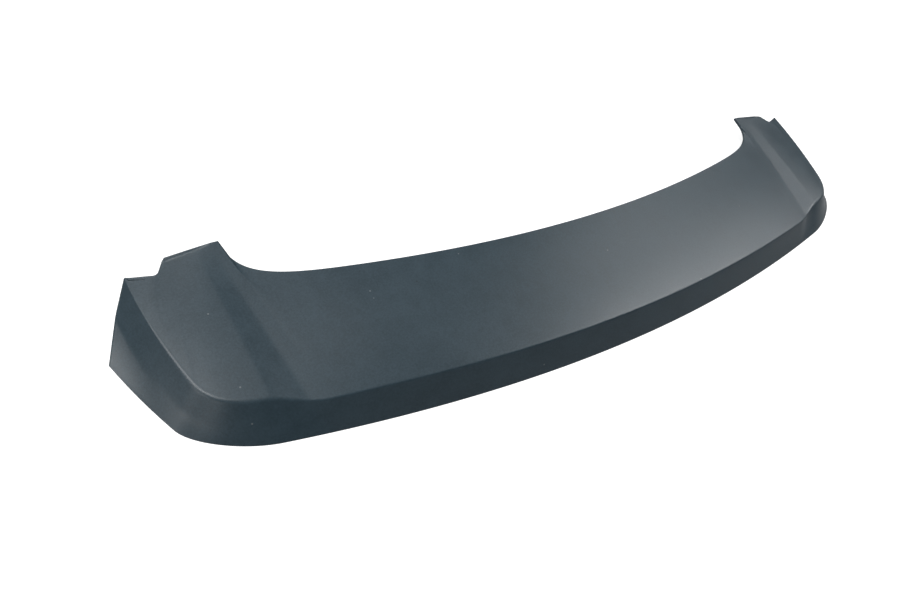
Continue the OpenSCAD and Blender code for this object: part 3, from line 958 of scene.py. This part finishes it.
def primer_material(finish):
    """Matt primer: soft clouds of colour and gloss, fine orange peel, a few specks of dust, and the
    bare moulding showing through on the inner side where the spray is thin."""
    material = bpy.data.materials.new("satin_primer")
    tree = Tree(material)
    place = tree.node("ShaderNodeTexCoord", {}, {}, "Object")
    noises = [tree.noise(place, *kind) for kind in (CLOUDS, PATCHES, GRAIN, PEEL)]
    clouds, patches, grain, peel = noises
    light = opaque(min(1, c * (1 + MOTTLE_SPAN * finish.mottle)) for c in finish.primer)
    dark = opaque(c * (1 - MOTTLE_SPAN * finish.mottle) for c in finish.primer)
    spread = swings(noises[:3], COLOUR_WEIGHTS)
    shade = tree.blend(tree.between(spread, -COLOUR_REACH, COLOUR_REACH), dark, light)
    cells = {"Vector": place, "Scale": SPECK_CELLS}
    dots, label = [tree.node("ShaderNodeTexVoronoi", {"feature": "F1"}, cells, part)
                   for part in ("Distance", "Color")]
    speck_draw, light_draw = [tree.node("ShaderNodeSeparateColor", {}, {"Color": label}, part)
                              for part in ("Red", "Green")]
    spot = (1 - tree.between(dots, *SPECK_REACH)) * tree.between(speck_draw, *SPECK_DRAW)
    bright = spot * tree.between(light_draw, *LIGHT_DRAW)
    murky = spot - bright
    shade = tree.blend(bright * LIGHT_COVER, shade, opaque(finish.speck))
    shade = tree.blend(murky * DARK_COVER, shade, opaque(finish.dust))
    inside = tree.node("ShaderNodeAttribute", {"attribute_name": "inside"}, {}, "Fac")
    thin = inside * tree.between(clouds + swings([patches], [THIN_PATCHES]), *THIN_REACH)
    shade = tree.blend(thin * THIN_COVER, shade, opaque(finish.bare))
    rough = swings(noises[:3], ROUGH_WEIGHTS) + finish.roughness + inside * INNER_ROUGH
    bump = tree.node("ShaderNodeBump", {}, {
        "Strength": finish.peel, "Distance": PEEL_HEIGHT, "Height": peel + grain * PEEL_GRAIN})
    surface = tree.node("ShaderNodeBsdfPrincipled", {}, {
        "Base Color": shade, "Roughness": rough, "Normal": bump})
    tree.node("ShaderNodeOutputMaterial", {}, {"Surface": surface})
    return material


def floor_material(stage):
    """A plain pale floor. The camera sees it lit up towards white, and the lamps see its own
    colour, so the part's shadow stays. From below it lets the view through."""
    material = bpy.data.materials.new("floor")
    tree = Tree(material)
    seen = tree.node("ShaderNodeLightPath", {}, {}, "Is Camera Ray")
    pale = tree.node("ShaderNodeBsdfDiffuse", {}, {"Color": opaque(stage.floor)})
    place = tree.node("ShaderNodeTexCoord", {}, {}, "Object")
    away = tree.node("ShaderNodeVectorMath", {"operation": "LENGTH"}, {0: place}, "Value")
    far = tree.between(away, *GLOW_REACH)
    glow = tree.node("ShaderNodeEmission", {}, {"Strength": far * (1 - stage.glow) + stage.glow})
    lit = tree.node("ShaderNodeAddShader", {}, {0: pale, 1: glow})
    shown = tree.node("ShaderNodeMixShader", {}, {0: seen, 1: pale, 2: lit})
    under = tree.node("ShaderNodeNewGeometry", {}, {}, "Backfacing")
    clear = tree.node("ShaderNodeBsdfTransparent", {}, {})
    both = tree.node("ShaderNodeMixShader", {}, {0: under, 1: shown, 2: clear})
    tree.node("ShaderNodeOutputMaterial", {}, {"Surface": both})
    return material


def studio_world(stage):
    """White where the camera looks past the floor, and a soft even level for everything else."""
    world = bpy.data.worlds.new("studio")
    tree = Tree(world)
    seen = tree.node("ShaderNodeLightPath", {}, {}, "Is Camera Ray")
    level = seen * (1 - stage.ambient) + stage.ambient
    back = tree.node("ShaderNodeBackground", {}, {"Color": opaque((1, 1, 1)), "Strength": level})
    tree.node("ShaderNodeOutputWorld", {}, {"Surface": back})
    return world


# Operators

def form_of(context):
    """The guide curves for the sizes as they are set."""
    scene = context.scene
    return Form(scene.spoiler_outline, scene.spoiler_ears, scene.spoiler_sides, scene.spoiler_posts)


class SPOILER_OT_shell(bpy.types.Operator):
    """Build the moulded shell"""

    bl_idname = "spoiler.shell"
    bl_label = "Moulded Shell"

    def execute(self, context):
        points, faces, inside = shell_mesh(form_of(context))
        shell = new_piece("moulded_shell", points, faces, inside, primer_of(context))
        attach(shell, "root")
        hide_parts("spoiler")
        return {"FINISHED"}


class SPOILER_OT_posts(bpy.types.Operator):
    """Build the screw posts and their webs"""

    bl_idname = "spoiler.posts"
    bl_label = "Screw Posts"

    def execute(self, context):
        form = form_of(context)
        points, faces = joined([
            build(form, s, q) for s, q in post_places(form) for build in (post_mesh, web_mesh)])
        posts = new_piece("screw_posts", points, faces, np.ones(len(points)), primer_of(context))
        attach(posts, "root")
        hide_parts("spoiler")
        return {"FINISHED"}


def primer_of(context):
    """The primer, made once; the packed model brings a plain material of the slot's name."""
    return bpy.data.materials.get("satin_primer") or primer_material(context.scene.spoiler_finish)


# Soft round lamps: name, azimuth and elevation in degrees, watts and width
LAMPS = [
    ("key_box", 345, 43, 30, 0.8),
    ("far_end_box", 0, 30, 7.4, 0.8),
    ("far_high_box", 15, 45, 8.5, 0.8),
    ("far_front_box", 30, 30, 5.5, 0.8),
    ("overhead_box", 90, 72, 5, 0.8),
    ("front_box", 100, 35, 22, 0.8),
    ("near_low_box", 160, 45, 12, 0.8),
    ("near_high_box", 158, 59, 36, 0.8),
    ("rear_box", 185, 22, 11, 0.9),
    ("rear_low_box", 210, 20, 6.5, 0.8),
]


# Distance of the lamps, the floor's radius, its number of corners and its gap below the rim, the
# width of the camera's sensor in millimetres, and the nearest and the furthest that it sees
LAMP_DISTANCE = 3.0
FLOOR_RADIUS = 40.0
FLOOR_CORNERS = 64
FLOOR_GAP = 0.0002
SENSOR_W = 36
CLIP = (0.01, 100)


def add_lamp(name, azimuth, elevation, power, width):
    """A round soft lamp that looks at the part from an azimuth and an elevation, in degrees."""
    data = bpy.data.lights.new(name, "AREA")
    data.shape, data.size, data.energy = "DISK", width, power
    lamp = bpy.data.objects.new(name, data)
    turn, tilt = np.radians(azimuth), np.radians(elevation)
    away = Vector((np.cos(turn) * np.cos(tilt), np.sin(turn) * np.cos(tilt), np.sin(tilt)))
    lamp.location = away * LAMP_DISTANCE
    lamp.rotation_mode = "QUATERNION"
    lamp.rotation_quaternion = away.to_track_quat("Z", "Y")
    bpy.context.collection.objects.link(lamp)


class SPOILER_OT_stage(bpy.types.Operator):
    """Build the floor, the lamps and the camera"""

    bl_idname = "spoiler.stage"
    bl_label = "Photo Stage"

    def execute(self, context):
        stage = context.scene.spoiler_stage
        mesh = bpy.data.meshes.new("floor")
        ring = revolve(np.array([[FLOOR_RADIUS, -FLOOR_GAP]]), FLOOR_CORNERS)[:, 0]
        mesh.from_pydata(ring.tolist(), [], [list(range(FLOOR_CORNERS))])
        mesh.materials.append(floor_material(stage))
        floor = bpy.data.objects.new("floor", mesh)
        context.collection.objects.link(floor)
        for lamp in LAMPS:
            add_lamp(*lamp)
        context.scene.world = studio_world(stage)
        camera = bpy.data.objects.new("camera", bpy.data.cameras.new("camera"))
        context.collection.objects.link(camera)
        at, to = Vector(stage.camera_at), Vector(stage.camera_to)
        turn = (at - to).to_track_quat("Z", "Y").to_matrix().to_4x4()
        camera.matrix_world = Matrix.Translation(at) @ turn @ Matrix.Rotation(stage.camera_roll, 4, "Z")
        camera.data.lens, camera.data.sensor_width = stage.lens, SENSOR_W
        camera.data.clip_start, camera.data.clip_end = CLIP
        context.scene.camera = camera
        context.scene.view_settings.view_transform = "Standard"
        return {"FINISHED"}


class SPOILER_PT_panel(bpy.types.Panel):
    """Lists the builders in the sidebar"""

    bl_label = "Roof Spoiler"
    bl_idname = "SPOILER_PT_panel"
    bl_space_type = "VIEW_3D"
    bl_region_type = "UI"
    bl_category = "Spoiler"

    def draw(self, context):
        column = self.layout.column()
        for kind in (SPOILER_OT_shell, SPOILER_OT_posts, SPOILER_OT_stage):
            column.operator(kind.bl_idname)
        for group, kind in GROUPS.items():
            box = self.layout.box()
            box.label(text=kind.__doc__)
            settings = getattr(context.scene, group)
            for key in settings.__annotations__:
                box.prop(settings, key)


GROUPS = {
    "spoiler_outline": OutlineSizes,
    "spoiler_ears": EarSizes,
    "spoiler_sides": SideSizes,
    "spoiler_posts": PostSizes,
    "spoiler_finish": FinishSettings,
    "spoiler_stage": StageSettings,
}
CLASSES = (*GROUPS.values(), SPOILER_OT_shell, SPOILER_OT_posts, SPOILER_OT_stage, SPOILER_PT_panel)


def register():
    """Registers the classes and hangs the settings on the scene."""
    for kind in CLASSES:
        bpy.utils.register_class(kind)
    for name, kind in GROUPS.items():
        setattr(bpy.types.Scene, name, bpy.props.PointerProperty(type=kind))


def unregister():
    """Takes the settings and the classes away again."""
    for name in GROUPS:
        delattr(bpy.types.Scene, name)
    for kind in reversed(CLASSES):
        bpy.utils.unregister_class(kind)


def main():
    """Builds every piece and the stage."""
    register()
    bpy.ops.spoiler.shell()
    bpy.ops.spoiler.posts()
    bpy.ops.spoiler.stage()


if __name__ == "__main__":
    main()
